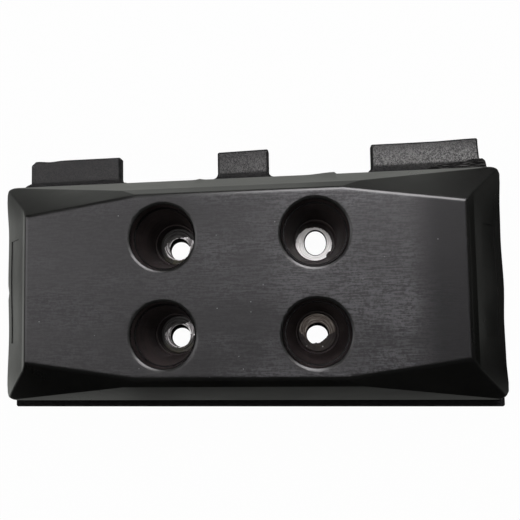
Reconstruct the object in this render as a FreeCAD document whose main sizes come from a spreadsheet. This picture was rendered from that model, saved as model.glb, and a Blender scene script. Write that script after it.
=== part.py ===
"""Paver track pad: a flat steel shoe plate with a rubber tread block bonded on its top face.

X runs along the shoe, across the track. Y points to the leading edge, which carries three tabs.
Z points up from the underside. The origin is the middle of the bolt pattern, on the underside.
"""
import FreeCAD, Part
import os
import Sketcher

# Driving dimensions, in millimetres: name, value, what it is.
SIZES = [
    ("shoe_length", 305.0, "plate and rubber, end to end"),
    ("plate_width", 147.0, "plate without its tabs"),
    ("plate_thickness", 6.0, "rolled steel plate"),
    ("leading_corner_radius", 12.0, "plate corners beside the tabs"),
    ("rear_corner_radius", 1.5, "plate corners on the trailing edge"),
    ("tab_reach", 15.0, "tabs beyond the leading edge"),
    ("outer_tab_width", 63.1, "each outer tab, along X"),
    ("outer_tab_inset", 8.5, "outer tab to the end of the plate"),
    ("centre_tab_width", 32.8, "middle tab, along X"),
    ("tip_corner_radius", 1.2, "corners of the tabs, seen from above"),
    ("tip_bevel", 1.2, "worn upper edge of the tabs"),
    ("relief_depth", 2.2, "chain clearance cut into the leading edge"),
    ("relief_root_radius", 3.5, "inner corners of that cut"),
    ("bolt_spacing_along", 87.0, "bolt pattern, along X"),
    ("bolt_spacing_across", 56.0, "bolt pattern, along Y"),
    ("bolt_hole_diameter", 14.0, "clearance for the shoe bolts"),
    ("side_ledge", 5.5, "bare plate beside the rubber on the long edges"),
    ("block_height", 42.0, "rubber above the plate"),
    ("lip_height", 12.0, "upright foot of the rubber"),
    ("lip_corner_radius", 5.0, "upright corners of the foot"),
    ("end_wall_run", 21.7, "inward run of the sloped end walls, up to the bevel"),
    ("side_wall_run", 10.3, "inward run of the sloped long walls, up to the bevel"),
    ("bevel_run", 5.0, "bevel round the tread face, seen from above"),
    ("bevel_height", 7.0, "bevel round the tread face, seen from the side"),
    ("facet_along", 68.5, "corner facet on the tread edge, along X"),
    ("facet_across", 9.8, "corner facet on the tread edge, along Y"),
    ("tread_edge_radius", 4.0, "rounding between the tread face and its bevel"),
    ("wall_edge_radius", 2.0, "rounding of the facets' sides, the bevel's foot and the top of the foot"),
    ("socket_floor_diameter", 23.0, "steel left bare round each bolt hole"),
    ("sleeve_top_diameter", 24.6, "top of the sleeve at the socket floor"),
    ("sleeve_height", 8.0, "sleeve at the socket floor"),
    ("sleeve_ledge", 0.7, "step out from the sleeve to the taper"),
    ("taper_top_diameter", 34.8, "top of the tapered socket wall"),
    ("collar_ledge", 0.8, "step out from the taper to the collar"),
    ("collar_height", 6.0, "collar under the tread face"),
    ("mouth_diameter", 37.8, "collar where it meets the tread face"),
    ("mouth_radius", 1.8, "rounding of the socket mouths"),
    ("panel_length", 64.0, "bare panel on the end walls, along Y"),
    ("panel_height", 16.0, "bare panel, up the slope"),
    ("panel_start", 7.0, "top of the foot to the panel, up the slope"),
    ("panel_depth", 0.4, "recess of the panel"),
]

NEAR = 0.01

document = FreeCAD.newDocument("paver_track_pad")
sheet = document.addObject("Spreadsheet::Sheet", "Sizes")
for row, (name, number, meaning) in enumerate(SIZES, start=1):
    sheet.set(f"A{row}", name)
    sheet.set(f"B{row}", str(number))
    sheet.set(f"C{row}", meaning)
    sheet.setAlias(f"B{row}", name)
document.recompute()

# Formulas that several features share.
HALF_LENGTH = "Sizes.shoe_length / 2"
HALF_PLATE = "Sizes.plate_width / 2"
TAB_TIP = "Sizes.plate_width / 2 + Sizes.tab_reach"
RELIEF_FLOOR = "Sizes.plate_width / 2 - Sizes.relief_depth"
HALF_CENTRE_TAB = "Sizes.centre_tab_width / 2"
OUTER_TAB_OUTSIDE = "Sizes.shoe_length / 2 - Sizes.outer_tab_inset"
OUTER_TAB_INSIDE = OUTER_TAB_OUTSIDE + " - Sizes.outer_tab_width"
BOLT_X = "Sizes.bolt_spacing_along / 2"
BOLT_Y = "Sizes.bolt_spacing_across / 2"
HALF_BLOCK = "Sizes.plate_width / 2 - Sizes.side_ledge"
LIP_TOP = "Sizes.plate_thickness + Sizes.lip_height"
TREAD = "Sizes.plate_thickness + Sizes.block_height"
BEVEL_FOOT = TREAD + " - Sizes.bevel_height"
BEVEL_END = "Sizes.shoe_length / 2 - Sizes.end_wall_run"
BEVEL_SIDE = "Sizes.plate_width / 2 - Sizes.side_ledge - Sizes.side_wall_run"
TREAD_END = BEVEL_END + " - Sizes.bevel_run"
TREAD_SIDE = BEVEL_SIDE + " - Sizes.bevel_run"
TREAD_CORNER_Y = TREAD_SIDE + " - Sizes.facet_across"
FACET_TURN = "atan(Sizes.facet_along / Sizes.facet_across)"


def value(formula):
    """The number a formula gives, in millimetres or degrees."""
    return float(sheet.evalExpression(formula))


def minus(formula):
    """The same size on the other side of the axis."""
    return f"-({formula})"


def new_body(label):
    """One piece of the pad, with a label of its own."""
    body = document.addObject("PartDesign::Body", label)
    body.Label = label
    return body


def origin_plane(body, role):
    """The body's own XY, XZ or YZ plane."""
    return next(feature for feature in body.Origin.OriginFeatures if feature.Role == role)


def new_sketch(body, label, role, offset=None, turn_axis=None, turn=None):
    """Sketch on one of the body's planes, moved and turned by formulas in the plane's own axes."""
    sketch = body.newObject("Sketcher::SketchObject", label)
    sketch.AttachmentSupport = [(origin_plane(body, role), "")]
    sketch.MapMode = "FlatFace"
    if turn:
        rotation = FreeCAD.Rotation(turn_axis, value(turn))
        sketch.AttachmentOffset = FreeCAD.Placement(FreeCAD.Vector(), rotation)
        sketch.setExpression("AttachmentOffset.Rotation.Angle", turn)
    for axis, formula in (offset or {}).items():
        sketch.setExpression(f"AttachmentOffset.Base.{axis}", formula)
    return sketch


def pin(sketch, geometry, point, axis, formula):
    """Hold a point at a formula's distance from the sketch's origin, along X or Y."""
    if formula == "0":
        line = -2 if axis == "X" else -1
        sketch.addConstraint(Sketcher.Constraint("PointOnObject", geometry, point, line))
        return
    kind = f"Distance{axis}"
    index = sketch.addConstraint(Sketcher.Constraint(kind, geometry, point, value(formula)))
    label = f"{axis.lower()}_{geometry}"
    sketch.renameConstraint(index, label)
    sketch.setExpression(f"Constraints.{label}", formula)


def draw_outline(sketch, corners):
    """Closed outline of straight edges, with each corner a pair of formulas.

    An edge whose ends share a formula is kept upright or level, so a size is given only once.
    """
    first = sketch.GeometryCount
    count = len(corners)
    points = [FreeCAD.Vector(value(x), value(y), 0) for x, y in corners]
    for i in range(count):
        sketch.addGeometry(Part.LineSegment(points[i], points[(i + 1) % count]), False)
    for i in range(count):
        following = first + (i + 1) % count
        sketch.addConstraint(Sketcher.Constraint("Coincident", first + i, 2, following, 1))
    pin(sketch, first, 1, "X", corners[0][0])
    pin(sketch, first, 1, "Y", corners[0][1])
    for i in range(1, count):
        edge = first + i - 1
        if corners[i][0] == corners[i - 1][0]:
            sketch.addConstraint(Sketcher.Constraint("Vertical", edge))
        else:
            pin(sketch, first + i, 1, "X", corners[i][0])
        if corners[i][1] == corners[i - 1][1]:
            sketch.addConstraint(Sketcher.Constraint("Horizontal", edge))
        else:
            pin(sketch, first + i, 1, "Y", corners[i][1])


def draw_rectangle(sketch, left, bottom, right, top):
    """Rectangle between four formulas."""
    draw_outline(sketch, [(left, bottom), (right, bottom), (right, top), (left, top)])


def add_pad(body, label, sketch, length):
    """Material along the sketch's normal."""
    pad = body.newObject("PartDesign::Pad", label)
    pad.Profile = sketch
    pad.setExpression("Length", length)
    document.recompute()
    return pad


def add_pocket(body, label, sketch, length, side="One side"):
    """Cut along the sketch's normal, backwards or to both sides. The cut has to take material."""
    before = body.Shape.Volume
    pocket = body.newObject("PartDesign::Pocket", label)
    pocket.Profile = sketch
    pocket.SideType = side
    pocket.setExpression("Length", length)
    document.recompute()
    if pocket.Shape.Volume > before - NEAR:
        raise RuntimeError(f"{label} cuts nothing")
    return pocket


def add_mirrored(body, label, features, roles):
    """The features again on the other side of each named plane."""
    pattern = body.newObject("PartDesign::MultiTransform", label)
    mirrors = []
    for role in roles:
        mirror = body.newObject("PartDesign::Mirrored", f"{label}_{role[:2].lower()}")
        mirror.MirrorPlane = (origin_plane(body, role), [""])
        mirrors.append(mirror)
    pattern.Originals = features
    pattern.Transformations = mirrors
    body.Tip = pattern
    document.recompute()
    return pattern


def find_edges(feature, test):
    """Names of the feature's edges that pass a test on their two ends and their middle."""
    names = []
    for number, edge in enumerate(feature.Shape.Edges, start=1):
        start = edge.valueAt(edge.FirstParameter)
        end = edge.valueAt(edge.LastParameter)
        middle = edge.valueAt((edge.FirstParameter + edge.LastParameter) / 2)
        if test(start, end, middle):
            names.append(f"Edge{number}")
    return names


def add_edge_feature(body, kind, label, base, edges, size_name, formula):
    """Fillet or chamfer on the named edges."""
    if not edges:
        raise RuntimeError(f"{label} finds no edge")
    feature = body.newObject(kind, label)
    feature.Base = (base, edges)
    feature.setExpression(size_name, formula)
    document.recompute()
    return feature


def add_fillet(body, label, base, edges, formula):
    """Rounded edges."""
    return add_edge_feature(body, "PartDesign::Fillet", label, base, edges, "Radius", formula)


def near(a, b):
    """True where two measures are the same."""
    return abs(a - b) < NEAR


def is_upright(start, end):
    """True for an edge along Z."""
    return near(start.x, end.x) and near(start.y, end.y) and not near(start.z, end.z)


# Steel plate: cut from rolled plate, with tabs left on the leading edge and four bolt holes.
plate = new_body("steel_base_plate")
plate_outline = new_sketch(plate, "plate_outline", "XY_Plane")
draw_rectangle(plate_outline, minus(HALF_LENGTH), minus(HALF_PLATE), HALF_LENGTH, HALF_PLATE)
blank = add_pad(plate, "plate_blank", plate_outline, "Sizes.plate_thickness")

leading_corners = find_edges(
    blank, lambda start, end, middle: is_upright(start, end) and middle.y > 0)
leading = add_fillet(
    plate, "leading_corners", blank, leading_corners, "Sizes.leading_corner_radius")
rear_corners = find_edges(
    leading, lambda start, end, middle: is_upright(start, end)
    and near(middle.y, -value(HALF_PLATE)))
rear = add_fillet(plate, "rear_corners", leading, rear_corners, "Sizes.rear_corner_radius")

tab_outlines = new_sketch(plate, "tab_outlines", "XY_Plane")
draw_rectangle(tab_outlines, minus(HALF_CENTRE_TAB), RELIEF_FLOOR, HALF_CENTRE_TAB, TAB_TIP)
draw_rectangle(tab_outlines, OUTER_TAB_INSIDE, RELIEF_FLOOR, OUTER_TAB_OUTSIDE, TAB_TIP)
draw_rectangle(
    tab_outlines, minus(OUTER_TAB_OUTSIDE), RELIEF_FLOOR, minus(OUTER_TAB_INSIDE), TAB_TIP)
tabs = add_pad(plate, "tabs", tab_outlines, "Sizes.plate_thickness")

relief_outline = new_sketch(plate, "relief_outline", "XY_Plane")
draw_rectangle(relief_outline, HALF_CENTRE_TAB, RELIEF_FLOOR, OUTER_TAB_INSIDE, TAB_TIP)
relief = add_pocket(
    plate, "chain_relief", relief_outline, "2 * Sizes.plate_thickness", "Symmetric")
reliefs = add_mirrored(plate, "chain_reliefs", [relief], ["YZ_Plane"])

root_edges = find_edges(
    reliefs, lambda start, end, middle: is_upright(start, end)
    and near(middle.y, value(RELIEF_FLOOR)))
roots = add_fillet(plate, "relief_roots", reliefs, root_edges, "Sizes.relief_root_radius")
tip_edges = find_edges(
    roots, lambda start, end, middle: is_upright(start, end) and near(middle.y, value(TAB_TIP)))
tips = add_fillet(plate, "tip_corners", roots, tip_edges, "Sizes.tip_corner_radius")

bevel_edges = find_edges(
    tips, lambda start, end, middle: near(start.y, value(TAB_TIP)) and near(end.y, value(TAB_TIP))
    and near(middle.z, value("Sizes.plate_thickness")))
bevels = add_edge_feature(
    plate, "PartDesign::Chamfer", "tip_bevels", tips, bevel_edges, "Size", "Sizes.tip_bevel")

hole_centres = new_sketch(plate, "hole_centres", "XY_Plane", {"z": "Sizes.plate_thickness"})
for x in (BOLT_X, minus(BOLT_X)):
    for y in (BOLT_Y, minus(BOLT_Y)):
        centre = FreeCAD.Vector(value(x), value(y), 0)
        radius = value("Sizes.bolt_hole_diameter / 2")
        circle = hole_centres.addGeometry(
            Part.Circle(centre, FreeCAD.Vector(0, 0, 1), radius), False)
        pin(hole_centres, circle, 3, "X", x)
        pin(hole_centres, circle, 3, "Y", y)
document.recompute()
holes = plate.newObject("PartDesign::Hole", "bolt_holes")
holes.Profile = hole_centres
holes.DepthType = "ThroughAll"
holes.Threaded = False
holes.setExpression("Diameter", "Sizes.bolt_hole_diameter")
document.recompute()

# Rubber block: moulded in one shot on the plate, with an upright foot, sloped walls, a bevel
# round the tread face, four corner facets and a tapered socket over each bolt hole.
rubber = new_body("rubber_block")
foot_outline = new_sketch(rubber, "foot_outline", "XY_Plane", {"z": "Sizes.plate_thickness"})
draw_rectangle(foot_outline, minus(HALF_LENGTH), minus(HALF_BLOCK), HALF_LENGTH, HALF_BLOCK)
block = add_pad(rubber, "block", foot_outline, "Sizes.block_height")
block_corners = find_edges(block, lambda start, end, middle: is_upright(start, end))
foot = add_fillet(rubber, "foot_corners", block, block_corners, "Sizes.lip_corner_radius")

end_slope = new_sketch(rubber, "end_slope", "XZ_Plane")
draw_outline(end_slope, [
    (TREAD_END, TREAD),
    (BEVEL_END, BEVEL_FOOT),
    (HALF_LENGTH, LIP_TOP),
    (HALF_LENGTH, TREAD),
])
end_cut = add_pocket(rubber, "end_wall", end_slope, "Sizes.plate_width", "Symmetric")
end_walls = add_mirrored(rubber, "end_walls", [end_cut], ["YZ_Plane"])

side_slope = new_sketch(rubber, "side_slope", "YZ_Plane")
draw_outline(side_slope, [
    (TREAD_SIDE, TREAD),
    (BEVEL_SIDE, BEVEL_FOOT),
    (HALF_BLOCK, LIP_TOP),
    (HALF_BLOCK, TREAD),
])
side_cut = add_pocket(rubber, "side_wall", side_slope, "Sizes.shoe_length", "Symmetric")
side_walls = add_mirrored(rubber, "side_walls", [side_cut], ["XZ_Plane"])

# The facet's sketch stands upright over the tread corner, square to the facet's top edge.
facet_reach = (
    f"(Sizes.end_wall_run + Sizes.bevel_run) * cos({FACET_TURN})"
    f" + (Sizes.side_wall_run + Sizes.bevel_run + Sizes.facet_across) * sin({FACET_TURN})")
facet_slope = new_sketch(
    rubber, "facet_slope", "XZ_Plane", {"x": TREAD_END, "z": minus(TREAD_CORNER_Y)},
    FreeCAD.Vector(0, 1, 0), FACET_TURN)
draw_outline(facet_slope, [("0", TREAD), (facet_reach, LIP_TOP), (facet_reach, TREAD)])
facet_cut = add_pocket(rubber, "facet", facet_slope, "Sizes.shoe_length", "Symmetric")
facets = add_mirrored(rubber, "facets", [facet_cut], ["YZ_Plane", "XZ_Plane"])

tread_edges = find_edges(
    facets, lambda start, end, middle: near(start.z, value(TREAD)) and near(end.z, value(TREAD)))
tread = add_fillet(rubber, "tread_edges", facets, tread_edges, "Sizes.tread_edge_radius")

# The facets' sloped edges and the edge round the top of the foot are rounded together. The
# tread's rounding stays as it is: it starts this far under the tread face.
rounding_foot = value(TREAD) - value("Sizes.tread_edge_radius")
wall_edges = find_edges(
    tread, lambda start, end, middle: min(start.z, end.z) > value(LIP_TOP) - NEAR
    and min(start.z, end.z) < rounding_foot and not near(middle.z, value(TREAD)))
walls = add_fillet(rubber, "wall_edges", tread, wall_edges, "Sizes.wall_edge_radius")

# One socket is turned about the bolt hole's own axis, and the other three are its mirrors.
socket_profile = new_sketch(rubber, "socket_profile", "XZ_Plane", {"x": BOLT_X, "z": minus(BOLT_Y)})
SLEEVE_TOP = "Sizes.plate_thickness + Sizes.sleeve_height"
COLLAR_FOOT = TREAD + " - Sizes.collar_height"
draw_outline(socket_profile, [
    ("0", "Sizes.plate_thickness"),
    ("Sizes.socket_floor_diameter / 2", "Sizes.plate_thickness"),
    ("Sizes.sleeve_top_diameter / 2", SLEEVE_TOP),
    ("Sizes.sleeve_top_diameter / 2 + Sizes.sleeve_ledge", SLEEVE_TOP),
    ("Sizes.taper_top_diameter / 2", COLLAR_FOOT),
    ("Sizes.taper_top_diameter / 2 + Sizes.collar_ledge", COLLAR_FOOT),
    ("Sizes.mouth_diameter / 2", TREAD),
    ("0", TREAD),
])
before_socket = rubber.Shape.Volume
socket = rubber.newObject("PartDesign::Groove", "socket")
socket.Profile = socket_profile
socket.ReferenceAxis = (socket_profile, ["V_Axis"])
socket.Angle = 360
document.recompute()
if socket.Shape.Volume > before_socket - NEAR:
    raise RuntimeError("socket cuts nothing")
sockets = add_mirrored(rubber, "sockets", [socket], ["YZ_Plane", "XZ_Plane"])


def is_mouth(start, end, middle):
    """True for the round edge where a socket meets the tread face."""
    radius = value("Sizes.mouth_diameter / 2")
    offset_x = abs(middle.x) - value(BOLT_X)
    offset_y = abs(middle.y) - value(BOLT_Y)
    return near(middle.z, value(TREAD)) and near((offset_x ** 2 + offset_y ** 2) ** 0.5, radius)


mouths = add_fillet(
    rubber, "mouths", sockets, find_edges(sockets, is_mouth), "Sizes.mouth_radius")

# The panel's sketch lies on the sloped end wall, with its own Y up the slope from the foot.
END_WALL_LEAN = (
    "-atan(Sizes.end_wall_run"
    " / (Sizes.block_height - Sizes.lip_height - Sizes.bevel_height))")
panel_outline = new_sketch(
    rubber, "panel_outline", "YZ_Plane", {"y": LIP_TOP, "z": HALF_LENGTH},
    FreeCAD.Vector(1, 0, 0), END_WALL_LEAN)
draw_rectangle(
    panel_outline, "-Sizes.panel_length / 2", "Sizes.panel_start",
    "Sizes.panel_length / 2", "Sizes.panel_start + Sizes.panel_height")
panel = add_pocket(rubber, "panel", panel_outline, "Sizes.panel_depth")
panels = add_mirrored(rubber, "panels", [panel], ["YZ_Plane"])

for item in document.Objects:
    if "Invalid" in item.State or "Error" in item.State:
        raise RuntimeError(f"{item.Name} failed: {item.State}")

os.makedirs("parts", exist_ok=True)
for body in (plate, rubber):
    if body.Shape.isNull() or not body.Shape.isValid():
        raise RuntimeError(f"{body.Label} has no valid shape")
    body.Shape.exportStep(f"parts/{body.Label}.step")
    print(body.Label, "volume", round(body.Shape.Volume / 1000, 2), "cubic centimetres")
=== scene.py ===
import math
import bmesh
import bpy
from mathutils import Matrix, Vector, noise


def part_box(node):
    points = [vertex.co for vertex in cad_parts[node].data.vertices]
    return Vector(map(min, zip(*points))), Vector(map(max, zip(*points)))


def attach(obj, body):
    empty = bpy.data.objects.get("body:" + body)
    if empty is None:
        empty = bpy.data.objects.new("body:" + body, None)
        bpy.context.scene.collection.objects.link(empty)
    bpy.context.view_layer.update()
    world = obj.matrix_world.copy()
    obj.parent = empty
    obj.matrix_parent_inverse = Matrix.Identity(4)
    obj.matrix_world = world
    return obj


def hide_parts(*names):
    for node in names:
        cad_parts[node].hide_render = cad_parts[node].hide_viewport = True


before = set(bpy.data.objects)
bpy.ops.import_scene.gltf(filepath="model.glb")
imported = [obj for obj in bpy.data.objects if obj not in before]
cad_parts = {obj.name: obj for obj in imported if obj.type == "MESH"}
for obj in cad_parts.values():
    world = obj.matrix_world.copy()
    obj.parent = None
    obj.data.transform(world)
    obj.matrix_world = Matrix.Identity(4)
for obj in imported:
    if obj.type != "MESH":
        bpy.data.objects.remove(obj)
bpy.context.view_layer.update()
scene = bpy.context.scene

# The rubber block: one hot moulding of black tread rubber, bonded to the steel shoe's top.
# Its end walls came out of the mould slightly waved, and the parting line left small nubs.
# The tread face is scuffed in fine streaks along the shoe, and the sockets' walls are dull.
SOCKET_X = 0.0435
SOCKET_Y = 0.028
BLOCK_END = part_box("rubber_block")[1].x
HALF_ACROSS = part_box("rubber_block")[1].y
PLATE_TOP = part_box("rubber_block")[0].z
TREAD_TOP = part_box("rubber_block")[1].z
FOOT_TOP = PLATE_TOP + 0.012


def smooth_step(low, high, value):
    t = min(max((value - low) / (high - low), 0.0), 1.0)
    return t * t * (3.0 - 2.0 * t)


def bump_at(value, centre, reach):
    return max(0.0, 1.0 - abs(value - centre) / reach) ** 1.5


def sign(value):
    return 1.0 if value > 0 else -1.0


def along_list(stations, at):
    for (low, first), (high, second) in zip(stations, stations[1:]):
        if at <= high:
            return first + (second - first) * smooth_step(low, high, at)
    return stations[-1][1]


# a copy of a solid's mesh, cut across at the given places so that it can be bent there
def cut_copy(node, planes, name):
    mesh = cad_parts[node].data.copy()
    mesh.materials.clear()
    if "custom_normal" in mesh.attributes:
        mesh.attributes.remove(mesh.attributes["custom_normal"])
    work = bmesh.new()
    work.from_mesh(mesh)
    bmesh.ops.remove_doubles(work, verts=work.verts, dist=2e-6)
    for axis, places in enumerate(planes):
        normal = Vector((axis == 0, axis == 1, axis == 2))
        for place in places:
            everything = work.verts[:] + work.edges[:] + work.faces[:]
            bmesh.ops.bisect_plane(
                work, geom=everything, dist=1e-6, plane_co=normal * place, plane_no=normal,
            )
    bmesh.ops.triangulate(work, faces=work.faces[:])
    mesh.name = name
    return mesh, work


def finish_piece(mesh, work, name, cad_node, sharp_degrees):
    work.to_mesh(mesh)
    work.free()
    for face in mesh.polygons:
        face.use_smooth = True
    mesh.set_sharp_from_angle(angle=math.radians(sharp_degrees))
    piece = bpy.data.objects.new(name, mesh)
    scene.collection.objects.link(piece)
    even = piece.modifiers.new("even normals", "WEIGHTED_NORMAL")
    even.keep_sharp = True
    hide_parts(cad_node)
    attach(piece, "root")


# how far each end of the foot lies inside its true line, from the trailing edge to the leading one
LEFT_END = [
    (-0.068, 0.0004), (-0.057, -0.0001), (-0.027, 0.00065), (0.008, -0.00015), (0.035, 0.00005),
    (0.060, -0.0013), (0.068, -0.0011),
]
RIGHT_END = [
    (-0.068, 0.0008), (-0.062, 0.00015), (-0.045, 0.00095), (-0.024, 0.0012), (-0.003, 0.0005),
    (0.024, 0.0012), (0.042, 0.0010), (0.068, 0.0),
]
WAVE_STARTS = 0.132
WAVE_IS_FULL = 0.150
RIM_CORNER = 0.0075

# how deep the worn mouth of a socket lies, by the distance from its axis
MOUTH_DEPTHS = [
    (0.0189, 0.0018), (0.01902, 0.00112), (0.0193, 0.00074), (0.0197, 0.00050), (0.0203, 0.00024),
    (0.0210, 0.0),
]
MOUTH_INNER = 0.01885
MOUTH_OUTER = 0.02080
MOUTH_WEAR = 0.00185
MOUTH_SPREAD = 0.0003

# the parting line's nubs: a long ramp with a steep end on the right, and a small hump on the left
RAMP_STARTS = 0.038
RAMP_PEAK = 0.0560
RAMP_ENDS = 0.0574
RAMP_RISE = 0.0011
HUMP_X = -0.0270
HUMP_RISE = 0.0006

# the leading right socket's sleeve sits a little off its bolt hole, more so at the steel than above
SLEEVE_TOP = PLATE_TOP + 0.008
SLEEVE_REACH = 0.0122
SLEEVE_SHIFT = Vector((-0.0007, -0.0014, 0.0))


def round_corner(vert, x, y, z):
    in_x = abs(x) - (BLOCK_END - RIM_CORNER)
    in_y = abs(y) - (HALF_ACROSS - RIM_CORNER)
    out = math.hypot(in_x, in_y)
    if in_x > 0 and in_y > 0 and out > RIM_CORNER:
        ease = 1.0 - smooth_step(FOOT_TOP + 0.001, FOOT_TOP + 0.008, z)
        pull = (RIM_CORNER / out - 1.0) * ease
        vert.co.x += sign(x) * in_x * pull
        vert.co.y += sign(y) * in_y * pull


def wear_mouth(vert, x, y, z):
    from_x = abs(x) - SOCKET_X
    from_y = abs(y) - SOCKET_Y
    from_axis = math.hypot(from_x, from_y)
    if MOUTH_INNER < from_axis < MOUTH_OUTER and z > TREAD_TOP - MOUTH_WEAR:
        radius = from_axis + MOUTH_SPREAD * smooth_step(0.0198, 0.0207, from_axis)
        vert.co.x += sign(x) * from_x * (radius / from_axis - 1.0)
        vert.co.y += sign(y) * from_y * (radius / from_axis - 1.0)
        vert.co.z = TREAD_TOP - along_list(MOUTH_DEPTHS, radius)


def wave_end(vert, x, y):
    hold = smooth_step(WAVE_STARTS, WAVE_IS_FULL, abs(x))
    vert.co.x -= sign(x) * along_list(RIGHT_END if x > 0 else LEFT_END, y) * hold


def raise_nubs(vert, x, y, z):
    edge = smooth_step(0.0655, 0.068, y) * smooth_step(FOOT_TOP - 0.0065, FOOT_TOP - 0.0005, z)
    edge *= z < FOOT_TOP + 0.0012
    ramp = smooth_step(RAMP_STARTS, RAMP_PEAK, x) * (1.0 - smooth_step(RAMP_PEAK + 0.0001, RAMP_ENDS, x))
    vert.co.y += RAMP_RISE * ramp * edge
    vert.co.y += HUMP_RISE * bump_at(x, HUMP_X, 0.0040) * edge
    vert.co.x += 0.0007 * bump_at(y, 0.0005, 0.005) * smooth_step(0.1505, 0.152, abs(x)) * (x < 0)


def shift_sleeve(vert, x, y, z):
    from_axis = math.hypot(abs(x) - SOCKET_X, abs(y) - SOCKET_Y)
    if x > 0 and y > 0 and from_axis < SLEEVE_REACH and z < SLEEVE_TOP + 0.0003:
        vert.co += SLEEVE_SHIFT * (1.0 - 0.35 * smooth_step(PLATE_TOP, SLEEVE_TOP, z))


END_CUTS_BACK = (0.0015, 0.0035, 0.006, 0.012, 0.018, 0.024)
end_cuts = [side * (BLOCK_END - back) for side in (-1, 1) for back in END_CUTS_BACK]
nub_cuts = [RAMP_STARTS, 0.042, 0.046, 0.050, 0.0535, RAMP_PEAK, 0.0567, RAMP_ENDS]
nub_cuts += [-0.0315, -0.029, HUMP_X, -0.025, -0.023]
across_cuts = [step * 0.0045 for step in range(-15, 16)]
rubber_planes = (end_cuts + nub_cuts, across_cuts, (FOOT_TOP - 0.006,))
rubber_mesh, rubber_work = cut_copy("rubber_block", rubber_planes, "rubber block")
for vert in rubber_work.verts:
    x, y, z = vert.co
    round_corner(vert, x, y, z)
    wear_mouth(vert, x, y, z)
    wave_end(vert, x, y)
    raise_nubs(vert, x, y, z)
    shift_sleeve(vert, x, y, z)

# The rubber crept over the steel at each socket's floor and tore there: a thin ragged film, given
# round each bolt hole as turns in degrees and the film's inner edge in millimetres.
FILMS = {
    (-1, 1): [
        (0, 10.6), (15, 10.5), (30, 9.4), (44, 8.4), (54, 7.2), (64, 6.2), (80, 5.6), (120, 5.6), (150, 6.6),
        (168, 7.6), (182, 9.2), (225, 9.4), (240, 9.0), (262, 8.9), (300, 8.6), (330, 8.4), (348, 9.4),
        (360, 10.6),
    ],
    (1, 1): [
        (0, 10.9), (45, 10.8), (90, 10.7), (130, 11.2), (150, 11.6), (305, 11.6), (312, 11.0), (318, 10.0),
        (328, 9.8), (334, 10.4), (338, 11.2), (346, 11.1), (360, 10.9),
    ],
    (-1, -1): [
        (0, 10.4), (20, 11.2), (50, 9.8), (64, 7.0), (84, 6.2), (120, 6.3), (150, 7.2), (165, 8.6),
        (180, 9.2), (235, 9.3), (252, 8.8), (262, 8.4), (330, 8.0), (350, 8.8), (360, 10.4),
    ],
    (1, -1): [
        (0, 10.8), (10, 11.5), (168, 11.5), (180, 10.4), (190, 8.6), (215, 7.6), (240, 7.7), (268, 6.5),
        (290, 6.2), (315, 6.0), (335, 6.4), (347, 7.2), (354, 9.0), (360, 10.8),
    ],
}
FILM_STEPS = 120
FILM_RINGS = 7
FILM_OUTER = 0.01165
FILM_NARROWEST = 11.55
FILM_THICK = 0.00030


# two points under a row's ends make the row a closed section
def add_underside(work, row, height):
    for above in (row[-1], row[0]):
        row.append(work.verts.new((above.co.x, above.co.y, height)))


def join_rows(work, rows, following_rows, turned):
    for row, following in zip(rows, following_rows):
        for here, further in zip(range(len(row)), [*range(1, len(row)), 0]):
            corners = [row[here], row[further], following[further], following[here]]
            if turned:
                corners[1:] = reversed(corners[1:])
            work.faces.new(corners)


def add_film(work, side_x, side_y, edge_list):
    middle = Vector((side_x * SOCKET_X, side_y * SOCKET_Y, 0.0))
    if side_x > 0 and side_y > 0:
        middle += SLEEVE_SHIFT
    rows = []
    for step in range(FILM_STEPS):
        turn = 360.0 * step / FILM_STEPS
        away = Vector((math.cos(math.radians(turn)), math.sin(math.radians(turn)), 0.0))
        torn = noise.noise(away * 5.5 + Vector((side_x * 9.0, side_y * 7.0, 0.0))) * 0.55
        torn += noise.noise(away * 16.0 + Vector((side_y * 5.0, side_x * 3.0, 4.0))) * 0.35
        inner = min(along_list(edge_list, turn) + torn, FILM_NARROWEST) * 0.001
        row = []
        for ring in range(FILM_RINGS):
            part = ring / (FILM_RINGS - 1)
            spot = away * (inner + (FILM_OUTER - inner) * part)
            crumple = 0.00022 * noise.noise(spot * 900.0 + Vector((side_x, side_y, 0.0)) * 3.0)
            thick = FILM_THICK * smooth_step(0.0, 0.35, part) + crumple * smooth_step(0.0, 0.3, part)
            rise = PLATE_TOP + 0.00003 + max(thick, 0.00004)
            row.append(work.verts.new(middle + Vector((spot.x, spot.y, rise))))
        add_underside(work, row, PLATE_TOP - 0.00002)
        rows.append(row)
    join_rows(work, rows, rows[1:] + rows[:1], turned=False)


for (side_x, side_y), edge_list in FILMS.items():
    add_film(rubber_work, side_x, side_y, edge_list)

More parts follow.
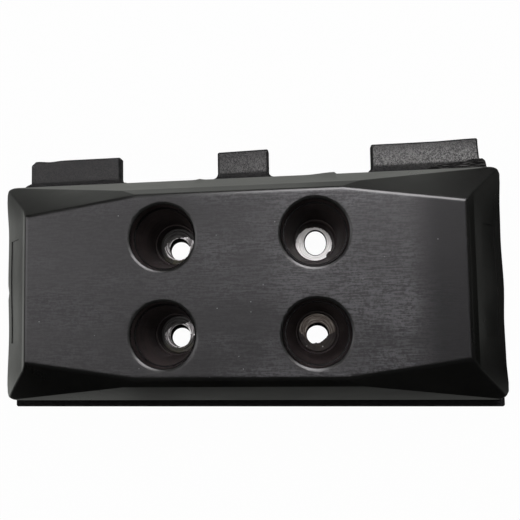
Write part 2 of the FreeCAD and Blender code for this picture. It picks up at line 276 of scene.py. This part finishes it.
# a ragged flash of rubber lies over the right tab's root and hangs a little past the tab's side
FLASH_EDGE = [
    (0.1120, 0.0716), (0.1180, 0.0730), (0.1221, 0.0741), (0.1280, 0.0743), (0.1340, 0.0751),
    (0.1400, 0.0762), (0.1440, 0.0766), (0.1460, 0.0764), (0.1474, 0.0755), (0.1480, 0.0740),
    (0.1484, 0.0715),
]
FLASH_STARTS = FLASH_EDGE[0][0]
FLASH_ENDS = FLASH_EDGE[-1][0]
FLASH_STEPS = 90
FLASH_RINGS = 12
FLASH_FOOT = 0.0670
FLASH_THICK = 0.00030
rows = []
for step in range(FLASH_STEPS + 1):
    x = FLASH_STARTS + (FLASH_ENDS - FLASH_STARTS) * step / FLASH_STEPS
    y_out = along_list(FLASH_EDGE, x)
    y_out += 0.0004 * noise.noise(Vector((x * 900.0, 2.0, 0.0))) * smooth_step(FLASH_ENDS, 0.1440, x)
    row = []
    for ring in range(FLASH_RINGS):
        part = ring / (FLASH_RINGS - 1)
        y = FLASH_FOOT + (y_out - FLASH_FOOT) * part
        ridge = noise.noise(Vector((x * 90.0, (y - 0.10 * x) * 900.0, 7.0)))
        thick = (FLASH_THICK + 0.00016 * ridge) * smooth_step(1.0, 0.90, part)
        row.append(rubber_work.verts.new((x, y, PLATE_TOP + 0.00005 + thick)))
    add_underside(rubber_work, row, PLATE_TOP - 0.0006)
    rows.append(row)
join_rows(rubber_work, rows, rows[1:], turned=True)
rubber_work.faces.new(rows[0])
rubber_work.faces.new(reversed(rows[-1]))

finish_piece(rubber_mesh, rubber_work, "tread_rubber_block", "rubber_block", 32)
SOCKET_INSIDE = 0.0188
for face in rubber_mesh.polygons:
    from_axis = math.hypot(abs(face.center.x) - SOCKET_X, abs(face.center.y) - SOCKET_Y)
    if from_axis < SOCKET_INSIDE and PLATE_TOP + 0.00001 < face.center.z < TREAD_TOP - 0.0010:
        face.material_index = 1


class Nodes:
    def __init__(self, tree):
        self.tree = tree

    def add(self, kind, inputs=None, **settings):
        node = self.tree.nodes.new(kind)
        for key, value in settings.items():
            setattr(node, key, value)
        for key, value in (inputs or {}).items():
            self.feed(node.inputs[key], value)
        return node

    def feed(self, socket, value):
        if isinstance(value, bpy.types.NodeSocket):
            self.tree.links.new(value, socket)
        else:
            socket.default_value = value

    def math(self, operation, first, second=0.0, clamp=False):
        node = self.add("ShaderNodeMath", {0: first, 1: second}, operation=operation, use_clamp=clamp)
        return node.outputs[0]

    def plus(self, first, second, clamp=False):
        return self.math("ADD", first, second, clamp)

    def less(self, first, second, clamp=False):
        return self.math("SUBTRACT", first, second, clamp)

    def times(self, *values):
        product = values[0]
        for value in values[1:]:
            product = self.math("MULTIPLY", product, value)
        return product

    # a smooth step of value from one end of a range to the other, put out between two levels
    def span(self, value, low, high, to_low=0.0, to_high=1.0):
        inputs = {"Value": value, "From Min": low, "From Max": high, "To Min": to_low, "To Max": to_high}
        node = self.add("ShaderNodeMapRange", inputs, interpolation_type="SMOOTHSTEP")
        return node.outputs["Result"]

    def mix(self, factor, first, second):
        node = self.add("ShaderNodeMix", {0: factor}, data_type="RGBA")
        self.feed(node.inputs[6], first)
        self.feed(node.inputs[7], second)
        return node.outputs[2]

    def blend(self, factor, first, second):
        return self.add("ShaderNodeMix", {0: factor, 2: first, 3: second}, data_type="FLOAT").outputs[0]

    def noise(self, place, scale, detail, roughness):
        inputs = {"Vector": place, "Scale": scale, "Detail": detail, "Roughness": roughness}
        return self.add("ShaderNodeTexNoise", inputs).outputs["Fac"]

    def stretch(self, place, factors):
        return self.add("ShaderNodeVectorMath", {0: place, 1: factors}, operation="MULTIPLY").outputs[0]

    def vector(self, x, y, z):
        return self.add("ShaderNodeCombineXYZ", {0: x, 1: y, 2: z}).outputs[0]

    def parts(self, vector):
        return self.add("ShaderNodeSeparateXYZ", {0: vector}).outputs

    # where a place lies from the nearest socket's axis, in x and in y
    def from_socket(self, x, y):
        return self.less(self.math("ABSOLUTE", x), SOCKET_X), self.less(self.math("ABSOLUTE", y), SOCKET_Y)

    def length(self, x, y):
        return self.math("SQRT", self.plus(self.times(x, x), self.times(y, y)))

    def finish(self, shader):
        self.add("ShaderNodeOutputMaterial", {"Surface": shader.outputs[0]})


def new_material(name):
    material = bpy.data.materials.new(name)
    material.use_nodes = True
    material.node_tree.nodes.clear()
    return material, Nodes(material.node_tree)


def new_group(name, inputs, outputs):
    tree = bpy.data.node_groups.new(name, "ShaderNodeTree")
    for label, kind, value in inputs:
        socket = tree.interface.new_socket(label, in_out="INPUT", socket_type=kind)
        if value is not None:
            socket.default_value = value
    for label, kind in outputs:
        tree.interface.new_socket(label, in_out="OUTPUT", socket_type=kind)
    nodes = Nodes(tree)
    start = nodes.add("NodeGroupInput")
    end = nodes.add("NodeGroupOutput")
    return nodes, start.outputs, end.inputs


# streaked scuffs: a height and a mask of fine scratches that run along the shoe
g, given, wanted = new_group(
    "scuffed along the shoe",
    [
        ("Place", "NodeSocketVector", None),
        ("Fineness", "NodeSocketFloat", 700.0),
        ("Patch Size", "NodeSocketFloat", 16.0),
    ],
    [("Height", "NodeSocketFloat"), ("Patches", "NodeSocketFloat")],
)
lines = g.noise(g.stretch(given["Place"], (0.11, 1.0, 1.0)), given["Fineness"], 3.0, 0.65)
patches = g.noise(g.stretch(given["Place"], (0.45, 1.0, 1.0)), given["Patch Size"], 3.0, 0.55)
g.feed(wanted["Height"], lines)
g.feed(wanted["Patches"], g.span(patches, 0.38, 0.66))

rubber_material, n = new_material("black tread rubber")
place = n.add("ShaderNodeNewGeometry").outputs["Position"]
x, y, z = n.parts(place)
facing = n.parts(n.add("ShaderNodeNewGeometry").outputs["Normal"])
facing_right = facing[0]
facing_up = facing[2]
from_axis = n.length(*n.from_socket(x, y))
on_tread = n.times(n.span(z, TREAD_TOP - 0.0009, TREAD_TOP - 0.00005), n.span(facing_up, 0.95, 0.998))
at_mouth = n.span(from_axis, 0.0205, 0.0225, 1.0, 0.0)

scuff_inputs = {"Place": place, "Fineness": 1450.0, "Patch Size": 21.0}
scuffs = n.add("ShaderNodeGroup", scuff_inputs, node_tree=g.tree)
scuff_height = scuffs.outputs["Height"]
scuff_patches = scuffs.outputs["Patches"]
grain = n.noise(place, 1500.0, 2.0, 0.6)
cloud = n.noise(place, 28.0, 4.0, 0.55)
mottle = n.noise(place, 640.0, 4.0, 0.75)
swell = n.noise(place, 45.0, 2.0, 0.5)

# a few pale specks on the tread: painted glints
tread_glint_cells = n.add("ShaderNodeTexVoronoi", {"Vector": place, "Scale": 420.0, "Randomness": 1.0}, feature="F1")
tread_glint_pick = n.add("ShaderNodeSeparateColor", {0: tread_glint_cells.outputs["Color"]}).outputs[0]
tread_glint_size = n.span(tread_glint_cells.outputs["Distance"], 0.10, 0.17, 1.0, 0.0)
tread_glints = n.times(tread_glint_size, n.math("GREATER_THAN", tread_glint_pick, 0.978), on_tread)

# the tread is worked most in its middle and round the right sockets, where its lighter colour is partly
# painted sheen, and is dull at its right end, where its darker colour is painted shade
middle = n.times(n.span(x, -0.045, 0.010), n.span(x, 0.085, 0.115, 1.0, 0.0))
scuffed_and_sheen = n.math("MULTIPLY", scuff_patches, n.span(middle, 0.0, 1.0, 0.35, 1.0), clamp=True)
# painted sheen: a lighter colour round the right sockets
painted_sheen_right = n.times(n.span(x, 0.005, 0.045), n.span(x, 0.088, 0.106, 1.0, 0.0))
painted_sheen_right = n.times(painted_sheen_right, n.span(y, -0.045, -0.015))
scuffed_and_sheen = n.plus(scuffed_and_sheen, n.times(painted_sheen_right, 0.45), clamp=True)
# painted shade: a darker colour at the right end, which is also rougher and less shiny
dull_and_shaded_end = n.span(x, 0.092, 0.112)
plain = n.mix(n.span(cloud, 0.3, 0.7), (0.0042, 0.0043, 0.0038, 1), (0.0062, 0.0062, 0.0055, 1))
brushed = n.span(n.plus(n.times(scuff_height, 0.55), n.times(mottle, 0.45)), 0.42, 0.58)
quiet = n.mix(brushed, (0.0085, 0.0082, 0.0086, 1), (0.0165, 0.0160, 0.0167, 1))
rubbed_off = n.mix(brushed, (0.0100, 0.0097, 0.0104, 1), (0.0660, 0.0643, 0.0680, 1))
worn_and_painted_light = n.mix(n.times(dull_and_shaded_end, 0.8), n.mix(scuffed_and_sheen, quiet, rubbed_off), (0.0030, 0.0028, 0.0032, 1))
colour = n.mix(tread_glints, n.mix(on_tread, plain, worn_and_painted_light), (0.16, 0.16, 0.165, 1))

# the flash over the right tab's root is matt, with pale torn lines painted on it as a highlight
on_flash = n.times(n.span(z, PLATE_TOP + 0.0012, PLATE_TOP + 0.0020, 1.0, 0.0), n.span(y, 0.0670, 0.0675))
on_flash = n.times(on_flash, n.span(x, 0.108, FLASH_STARTS))
flash_highlight_lines = n.noise(n.stretch(place, (130.0, 2200.0, 300.0)), 1.0, 3.0, 0.6)
flash_with_painted_highlight = n.mix(n.span(flash_highlight_lines, 0.50, 0.66), (0.0015, 0.0014, 0.0014, 1), (0.130, 0.127, 0.122, 1))
colour = n.mix(on_flash, colour, flash_with_painted_highlight)

wall_rough = n.span(cloud, 0.25, 0.75, 0.27, 0.33)
tread_rough = n.plus(n.span(scuff_patches, 0.0, 1.0, 0.41, 0.50), n.times(dull_and_shaded_end, 0.14))
rough = n.blend(on_tread, wall_rough, tread_rough)
rough = n.blend(at_mouth, rough, 0.34)
rough = n.math("MAXIMUM", rough, n.times(on_flash, 0.8))
right_bevel = n.times(n.span(z, TREAD_TOP - 0.0074, TREAD_TOP - 0.0066), n.span(facing_right, 0.45, 0.65))
shine = n.less(0.5, n.times(dull_and_shaded_end, on_tread, 0.14))
shine = n.less(shine, n.times(right_bevel, 0.26))
shine = n.less(shine, n.times(on_flash, 0.40), clamp=True)

streak = n.times(n.less(scuff_height, 0.5), n.times(on_tread, n.span(scuff_patches, 0.0, 1.0, 0.4, 1.3)))
height = n.plus(streak, n.times(n.less(grain, 0.5), 0.35))
bump = n.add("ShaderNodeBump", {"Height": height, "Strength": 0.6, "Distance": 0.00014})
soft_inputs = {"Height": swell, "Strength": 0.35, "Distance": 0.0006, "Normal": bump.outputs[0]}
soft = n.add("ShaderNodeBump", soft_inputs)
surface = n.add("ShaderNodeBsdfPrincipled", {
    "Base Color": colour, "Roughness": rough, "Normal": soft.outputs[0], "IOR": 1.5,
    "Specular IOR Level": shine,
})
n.finish(surface)
rubber_mesh.materials.append(rubber_material)

# the rubber inside the sockets: moulded in faint rings, lighter along them as painted sheen, with painted
# sheen in olive patches low down and in grey streaks on the torn film below
socket_material, n = new_material("dull rubber in the sockets")
place = n.add("ShaderNodeNewGeometry").outputs["Position"]
x, y, z = n.parts(place)
from_axis = n.length(*n.from_socket(x, y))
moulded_rings_and_sheen = n.noise(n.stretch(place, (60.0, 60.0, 420.0)), 1.0, 4.0, 0.6)
film = n.noise(place, 320.0, 4.0, 0.7)
# painted sheen: the walls' colour is lightened along the moulded rings
colour = n.mix(n.span(moulded_rings_and_sheen, 0.35, 0.7), (0.0190, 0.0135, 0.0140, 1), (0.0580, 0.0450, 0.0440, 1))

on_film = n.span(z, PLATE_TOP + 0.0005, PLATE_TOP + 0.0008, 1.0, 0.0)
# painted sheen: grey streaks on the torn film, strongest in the left sockets
film_place = n.vector(n.times(from_axis, 1300.0), 0.0, n.times(x, 60.0))
film_sheen_lines = n.noise(film_place, 1.0, 3.0, 0.7)
film_sheen = n.mix(n.span(film_sheen_lines, 0.40, 0.66), (0.020, 0.018, 0.018, 1), (0.200, 0.195, 0.190, 1))
colour = n.mix(n.times(on_film, n.span(x, -0.01, 0.01, 1.0, 0.15)), colour, film_sheen)

# painted sheen: olive patches low on the near side of the sockets, strongest in the left ones
low_down = n.span(z, PLATE_TOP + 0.0006, PLATE_TOP + 0.007, 1.0, 0.0)
leading_sheen = n.times(n.span(y, 0.019, 0.024, 1.0, 0.0), n.span(y, 0.002, 0.006))
rear_sheen = n.times(n.span(y, -0.036, -0.031, 1.0, 0.0), 0.7)
olive_sheen = n.times(low_down, n.plus(leading_sheen, rear_sheen), n.span(film, 0.40, 0.60))
olive_sheen = n.times(olive_sheen, n.span(x, -0.01, 0.01, 1.0, 0.35))
colour = n.mix(olive_sheen, colour, (0.110, 0.103, 0.070, 1))

# pale glints are painted on the film in the rear right socket alone
film_glint_cells = n.add("ShaderNodeTexVoronoi", {"Vector": place, "Scale": 620.0}, feature="F1")
film_glint_pick = n.add("ShaderNodeSeparateColor", {0: film_glint_cells.outputs["Color"]}).outputs[0]
film_glint_size = n.span(film_glint_cells.outputs["Distance"], 0.20, 0.32, 1.0, 0.0)
film_glints = n.times(film_glint_size, n.math("GREATER_THAN", film_glint_pick, 0.86))
film_glints = n.times(film_glints, on_film, n.span(x, 0.030, 0.034))
film_glints = n.times(film_glints, n.times(n.span(x, 0.046, 0.050, 1.0, 0.0), n.span(y, -0.034, -0.036)))
colour = n.mix(film_glints, colour, (0.80, 0.78, 0.74, 1))

collar_foot = n.span(z, TREAD_TOP - 0.0066, TREAD_TOP - 0.0062)
collar = n.times(collar_foot, n.span(z, TREAD_TOP - 0.0056, TREAD_TOP - 0.0052, 1.0, 0.0))
colour = n.mix(collar, colour, (0.0012, 0.0010, 0.0010, 1))
collar_rough = n.times(collar, n.span(x, -0.01, 0.01, 0.95, 0.6))
rough = n.math("MAXIMUM", n.span(moulded_rings_and_sheen, 0.3, 0.7, 0.40, 0.55), collar_rough)
bump = n.add("ShaderNodeBump", {"Height": n.plus(moulded_rings_and_sheen, film), "Strength": 0.5, "Distance": 0.00025})
surface = n.add("ShaderNodeBsdfPrincipled", {
    "Base Color": colour, "Roughness": rough, "Normal": bump.outputs[0], "IOR": 1.5,
    "Specular IOR Level": 0.25,
})
n.finish(surface)
rubber_mesh.materials.append(socket_material)

# The steel shoe: flame cut 6 mm plate with three tabs on its leading edge, under thin rough black paint.
# The left tab's corner is knocked, its edge dips where the cut wandered, and bare bright rings lie
# at the sockets' floors, where the paint and the rubber were kept off for the bolts' heads.
TAB_INNER_SIDE = 0.079
MIDDLE_TAB_HALF = 0.03
LEFT_TAB_CUTS = [-0.1435 + 0.0025 * step for step in range(1, 12)]
RIGHT_TAB_CUTS = [0.082, 0.1, 0.12, 0.13, 0.137, 0.1405]
TAB_CUTS_ACROSS = [0.069, 0.0712, 0.0740, 0.0755, 0.0775, 0.080, 0.083, 0.0855, 0.0868, 0.0878]
plate_planes = (LEFT_TAB_CUTS + RIGHT_TAB_CUTS, TAB_CUTS_ACROSS, (0.4 * PLATE_TOP, 0.7 * PLATE_TOP))
plate_mesh, plate_work = cut_copy("steel_base_plate", plate_planes, "steel shoe")

# how each punched hole lies at the plate's top and at its underside, in millimetres: its middle's
# offset from the socket's axis, then its half width and its half length
HOLE_RADIUS = 7.0
HOLE_REACH = 0.0072
HOLES = {
    (-1, 1): ((0.6, -1.6, 6.5, 7.0), (0.1, -2.4, 6.3, 6.1)),
    (1, 1): ((0.0, -0.3, 7.2, 8.2), (0.1, 0.2, 6.7, 7.6)),
    (-1, -1): ((0.6, -0.9, 6.5, 7.1), (0.3, -2.2, 6.3, 6.1)),
    (1, -1): ((0.1, -1.1, 7.1, 7.1), (0.0, -1.9, 6.6, 6.0)),
}


def shape_hole(vert, x, y, z):
    side_x = 1 if x > 0 else -1
    side_y = 1 if y > 0 else -1
    from_x = x - side_x * SOCKET_X
    from_y = y - side_y * SOCKET_Y
    if math.hypot(from_x, from_y) < HOLE_REACH:
        above, below = HOLES[side_x, side_y]
        shape = [low + (high - low) * z / PLATE_TOP for high, low in zip(above, below)]
        off_x, off_y, half_x, half_y = shape
        vert.co.x = side_x * SOCKET_X + 0.001 * off_x + from_x * half_x / HOLE_RADIUS
        vert.co.y = side_y * SOCKET_Y + 0.001 * off_y + from_y * half_y / HOLE_RADIUS


# lip grows towards a tab's tip, and root is the whole tab outside the rubber
def bend_tabs(vert, x, y):
    lip = smooth_step(0.0780, 0.0880, y)
    root = smooth_step(0.0690, 0.0712, y)
    if x < -TAB_INNER_SIDE:
        vert.co.y -= 0.0024 * smooth_step(-0.1405, -0.1440, x) * smooth_step(0.0845, 0.0885, y)
        vert.co.y -= 0.0007 * math.exp(-((x + 0.1310) / 0.0055) ** 2) * lip
        vert.co.x -= 0.0014 * smooth_step(-0.100, -0.084, x) * root
    if abs(x) < MIDDLE_TAB_HALF:
        vert.co.y += 0.0006 * smooth_step(-0.012, 0.004, x) * lip
        vert.co.x -= 0.0013 * root
    if x > TAB_INNER_SIDE:
        vert.co.y += (0.0002 + 0.0008 * smooth_step(0.115, 0.142, x)) * lip
        vert.co.x -= 0.0014 * smooth_step(0.100, 0.084, x) * root
        vert.co.x += 0.0006 * smooth_step(0.135, 0.144, x) * smooth_step(0.086, 0.076, y)


for vert in plate_work.verts:
    x, y, z = vert.co
    shape_hole(vert, x, y, z)
    bend_tabs(vert, x, y)
finish_piece(plate_mesh, plate_work, "steel_shoe_plate", "steel_base_plate", 30)

plate_material, n = new_material("rough black painted steel")
place = n.add("ShaderNodeNewGeometry").outputs["Position"]
x, y, z = n.parts(place)
facing_up = n.parts(n.add("ShaderNodeNewGeometry").outputs["Normal"])[2]
from_x, from_y = n.from_socket(x, y)
from_axis = n.length(from_x, from_y)
scale_spots = n.noise(place, 1250.0, 3.0, 0.8)
dapple = n.noise(place, 110.0, 3.0, 0.6)

# the paint is thin and rubbed on the right tab, where its lighter colour is partly painted sheen; on the
# sides, the rear edge and the tabs' roots it is darkened as painted shade
on_tabs = n.times(n.span(y, 0.070, 0.074), n.span(y, 0.0885, 0.080, 0.25, 1.0))
# partly wear and partly painted sheen: the tabs' colour lightens towards the right
rubbed_and_sheen = n.times(n.span(x, -0.07, 0.10, 0.03, 1.0), on_tabs, n.span(scale_spots, 0.40, 0.62))
paint = n.mix(n.span(scale_spots, 0.42, 0.66), (0.004, 0.004, 0.004, 1), (0.013, 0.0126, 0.0122, 1))
paint = n.mix(rubbed_and_sheen, paint, (0.230, 0.226, 0.220, 1))
# painted shade: the sides, the rear edge and the tabs' roots are painted near black
painted_shade_mask = n.math("MAXIMUM", n.span(facing_up, 0.80, 0.97, 1.0, 0.0), n.span(y, -0.0660, -0.0640, 1.0, 0.0))
tab_root_shade = n.span(n.less(y, n.times(x, 0.006)), 0.0736, 0.0756, 0.85, 0.0)
painted_shade_mask = n.math("MAXIMUM", painted_shade_mask, tab_root_shade)
on_top = n.span(z, PLATE_TOP - 0.0006, PLATE_TOP - 0.0002)
bare = n.times(n.span(from_axis, 0.0130, 0.0134, 1.0, 0.0), on_top)
paint = n.mix(n.times(painted_shade_mask, n.less(1.0, bare)), paint, (0.0015, 0.0015, 0.0016, 1))

# bare steel at the sockets' floors: smeared on the left, clean on the right, stained in the rear right, with
# painted shade on the far side of the leading right ring
ring_place = n.vector(n.times(from_axis, 1500.0), n.times(n.math("ARCTAN2", from_y, from_x), 0.8), x)
ring_lines = n.noise(ring_place, 1.0, 3.0, 0.6)
clean = n.mix(n.span(ring_lines, 0.35, 0.60), (0.66, 0.65, 0.62, 1), (0.98, 0.97, 0.95, 1))
smeared = n.mix(n.span(ring_lines, 0.46, 0.60), (0.16, 0.15, 0.15, 1), (0.95, 0.94, 0.92, 1))
on_right = n.span(x, -0.010, 0.010)
steel = n.mix(on_right, smeared, clean)
# painted shade: the far side of the leading right ring is darker
shaded_side = n.times(on_right, n.times(n.span(y, 0.024, 0.034), 0.62))
steel = n.mix(shaded_side, steel, (0.30, 0.29, 0.28, 1))
stained = n.times(on_right, n.span(y, -0.010, 0.010, 1.0, 0.0))
brown = n.mix(n.span(ring_lines, 0.45, 0.68), (0.085, 0.070, 0.060, 1), (0.36, 0.33, 0.29, 1))
steel = n.mix(stained, steel, brown)
colour = n.mix(bare, paint, steel)

rough = n.blend(painted_shade_mask, n.span(scale_spots, 0.3, 0.7, 0.34, 0.52), 0.9)
rough = n.blend(bare, rough, 0.30)
height = n.plus(n.times(scale_spots, n.less(1.0, n.times(bare, 0.7))), n.times(dapple, 0.6))
bump = n.add("ShaderNodeBump", {"Height": height, "Strength": 0.7, "Distance": 0.00028})
surface = n.add("ShaderNodeBsdfPrincipled", {
    "Base Color": colour, "Roughness": rough, "Metallic": n.times(bare, 0.85), "Specular IOR Level": 0.35,
    "Normal": bump.outputs[0],
})
n.finish(surface)
plate_mesh.materials.append(plate_material)

# The studio: a wide pale sweep whose rim turns up, seen white but keeping the pad's shadow.
# A ground cloth and drapes with lit openings stand round it and show in the gloss alone.
SWEEP_RINGS = [
    (0.0, 0.0), (0.6, 0.0), (1.6, 0.0), (2.4, 0.0), (2.8, 0.05), (3.1, 0.2), (3.3, 0.5), (3.35, 1.3),
]
SWEEP_STEPS = 48
SEEN_WHITE = 0.97
sweep_mesh = bpy.data.meshes.new("pale sweep")
sweep_work = bmesh.new()
turns = [2 * math.pi * k / SWEEP_STEPS for k in range(SWEEP_STEPS)]
loops = []
for radius, up in SWEEP_RINGS:
    if radius:
        loop = [sweep_work.verts.new((radius * math.cos(a), radius * math.sin(a), up)) for a in turns]
    else:
        loop = [sweep_work.verts.new((0, 0, 0))] * SWEEP_STEPS
    loops.append(loop)
for inner, outer in zip(loops, loops[1:]):
    for k in range(SWEEP_STEPS):
        j = (k + 1) % SWEEP_STEPS
        corners = [inner[k], outer[k], outer[j]]
        if inner[k] is not inner[j]:
            corners.append(inner[j])
        sweep_work.faces.new(corners)
sweep_work.to_mesh(sweep_mesh)
sweep_work.free()
for face in sweep_mesh.polygons:
    face.use_smooth = True
sweep = bpy.data.objects.new("pale_sweep", sweep_mesh)
scene.collection.objects.link(sweep)
sweep_material, n = new_material("pale sweep paper")
matte = n.add("ShaderNodeBsdfDiffuse", {"Color": (0.88, 0.88, 0.88, 1)})
glow = n.add("ShaderNodeEmission", {"Color": (1, 1, 1, 1), "Strength": 1.0})
path = n.add("ShaderNodeLightPath").outputs
mirrored = n.math("MAXIMUM", path["Is Glossy Ray"], path["Is Transmission Ray"])
share = n.times(n.math("MAXIMUM", path["Is Camera Ray"], mirrored), SEEN_WHITE)
both = n.add("ShaderNodeMixShader", {0: share, 1: matte.outputs[0], 2: glow.outputs[0]})
n.finish(both)
sweep_mesh.materials.append(sweep_material)


def show_in_gloss_alone(thing):
    thing.visible_camera = False
    thing.visible_diffuse = False
    thing.visible_transmission = False
    thing.visible_shadow = False


# a flat panel at one height, given by its two corners
def card(name, low, high, up, material):
    mesh = bpy.data.meshes.new(name)
    corners = [(low[0], low[1], up), (high[0], low[1], up), (high[0], high[1], up), (low[0], high[1], up)]
    mesh.from_pydata(corners, [], [(0, 1, 2, 3)])
    mesh.materials.append(material)
    panel = bpy.data.objects.new(name, mesh)
    scene.collection.objects.link(panel)
    show_in_gloss_alone(panel)


def band(nodes, value, low, high, soft):
    rise = nodes.span(value, low - soft, low + soft)
    return nodes.times(rise, nodes.span(value, high - soft, high + soft, 1.0, 0.0))


# the sum of the lit zones, each given as its limits across, its limits up and its level
def lit_zones(nodes, across, up, zones, soft, strength):
    for (left, right, low, high), level in zones:
        inside = nodes.times(band(nodes, across, left, right, soft), band(nodes, up, low, high, soft))
        strength = nodes.plus(strength, nodes.times(inside, level))
    return strength


CLOTH_SOFT = 0.014
CLOTH_ZONES = [
    ((-0.90, -0.16, 0.060, 0.100), 0.22), ((-0.16, 0.14, 0.060, 0.100), 0.42),
    ((0.14, 0.90, 0.060, 0.100), 0.11), ((-0.90, -0.16, 0.100, 0.180), 0.28),
    ((-0.16, 0.04, 0.100, 0.180), 0.74), ((0.04, 0.14, 0.100, 0.180), 0.52),
    ((0.14, 0.90, 0.180, 0.900), 0.27), ((-0.205, -0.165, -0.090, 0.060), 0.62),
    ((0.232, 0.320, -0.045, 0.060), 0.42), ((-0.90, -0.08, -0.095, -0.065), 0.31),
    ((-0.08, 0.90, -0.095, -0.065), 0.21),
]
cloth_material, n = new_material("grey ground cloth")
spot = n.parts(n.add("ShaderNodeNewGeometry").outputs["Position"])
strength = lit_zones(n, spot[0], spot[1], CLOTH_ZONES, CLOTH_SOFT, 0.0)
n.finish(n.add("ShaderNodeEmission", {"Color": (0.98, 1.0, 0.95, 1), "Strength": strength}))
card("ground_cloth", (-1.6, -1.6), (1.6, 1.6), 0.0004, cloth_material)

# A glowing pale strip, seen in the gloss alone, lies over the tabs too and paints a pale reflection of the
# tabs in the rubber. It is open from below, so the tabs' own gloss is kept.
strip_material, n = new_material("pale strip over the tabs")
pale = n.add("ShaderNodeEmission", {"Color": (0.98, 1.0, 0.94, 1), "Strength": 0.47})
from_below = n.add("ShaderNodeNewGeometry").outputs["Backfacing"]
clear = n.add("ShaderNodeBsdfTransparent")
n.finish(n.add("ShaderNodeMixShader", {0: from_below, 1: pale.outputs[0], 2: clear.outputs[0]}))
card("tab_glow_strip", (-0.155, 0.0738), (0.146, 0.0900), PLATE_TOP + 0.0006, strip_material)

# Black drapes all round with a few lit openings, given as turns from the far side and heights in degrees.
DRAPE_RADIUS = 2.2
DRAPE_LEVEL = 0.04
OPENING_SOFT = 3.0
OPENINGS = [
    ((12, 32, 54, 66), 18.0), ((12, 32, 44, 54), 14.0), ((-8, 12, 54, 66), 6.5), ((-8, 12, 44, 54), 5.0),
    ((-8, 32, 22, 44), 13.0), ((-95, -65, 0, 22), 0.8), ((-95, -65, 22, 46), 3.0), ((-95, -65, 46, 66), 3.3),
    ((-125, 125, 66, 99), 0.92),
]
drape_material, n = new_material("black drapes with lit openings")
x, y, z = n.parts(n.add("ShaderNodeNewGeometry").outputs["Position"])
turn = n.times(n.math("ARCTAN2", x, y), 180 / math.pi)
lift = n.times(n.math("ARCSINE", n.math("DIVIDE", z, DRAPE_RADIUS)), 180 / math.pi)
strength = lit_zones(n, turn, lift, OPENINGS, OPENING_SOFT, DRAPE_LEVEL)
n.finish(n.add("ShaderNodeEmission", {"Color": (1, 0.975, 1, 1), "Strength": strength}))
drape_mesh = bpy.data.meshes.new("drapes")
drape_work = bmesh.new()
bmesh.ops.create_uvsphere(drape_work, u_segments=96, v_segments=48, radius=DRAPE_RADIUS)
below_floor = [vert for vert in drape_work.verts if vert.co.z < -0.2]
bmesh.ops.delete(drape_work, geom=below_floor, context="VERTS")
drape_work.to_mesh(drape_mesh)
drape_work.free()
drape_mesh.materials.append(drape_material)
drapes = bpy.data.objects.new("drapes", drape_mesh)
scene.collection.objects.link(drapes)
show_in_gloss_alone(drapes)

world = bpy.data.worlds.new("dim room")
scene.world = world
world.use_nodes = True
world.node_tree.nodes["Background"].inputs["Color"].default_value = (1, 1, 1, 1)
world.node_tree.nodes["Background"].inputs["Strength"].default_value = 0.28
world.cycles_visibility.glossy = False


def softbox(name, place, aim, size, radiance):
    lamp = bpy.data.lights.new(name, "AREA")
    lamp.shape = "RECTANGLE"
    lamp.size = size[0]
    lamp.size_y = size[1]
    lamp.energy = radiance * math.pi * size[0] * size[1]
    holder = bpy.data.objects.new(name, lamp)
    holder.location = place
    holder.rotation_euler = (Vector(aim) - Vector(place)).to_track_quat("-Z", "Y").to_euler()
    holder.visible_glossy = False
    scene.collection.objects.link(holder)


softbox("overhead_softbox", (-0.22, 0.26, 1.20), (0, 0, 0), (1.15, 0.60), 2.4)
softbox("far_window", (0.24, 0.52, 0.64), (0.0, 0.02, 0.03), (0.52, 0.34), 2.5)

scene.view_settings.view_transform = "Standard"

# the camera that was fitted to the photo, with its height given above the plate's top
camera = bpy.data.cameras.new("photo camera")
camera.sensor_width = 36.0
camera.lens = 40.3856
camera.shift_x = 0.021005
camera.shift_y = 0.050382
camera.clip_start = 0.01
holder = bpy.data.objects.new("photo_camera", camera)
holder.rotation_mode = "QUATERNION"
holder.location = (0.0435088, -0.0221157, 0.3648818 + PLATE_TOP)
holder.rotation_quaternion = (0.997793, 0.031595, 0.057538, -0.009990)
scene.collection.objects.link(holder)
scene.camera = holder
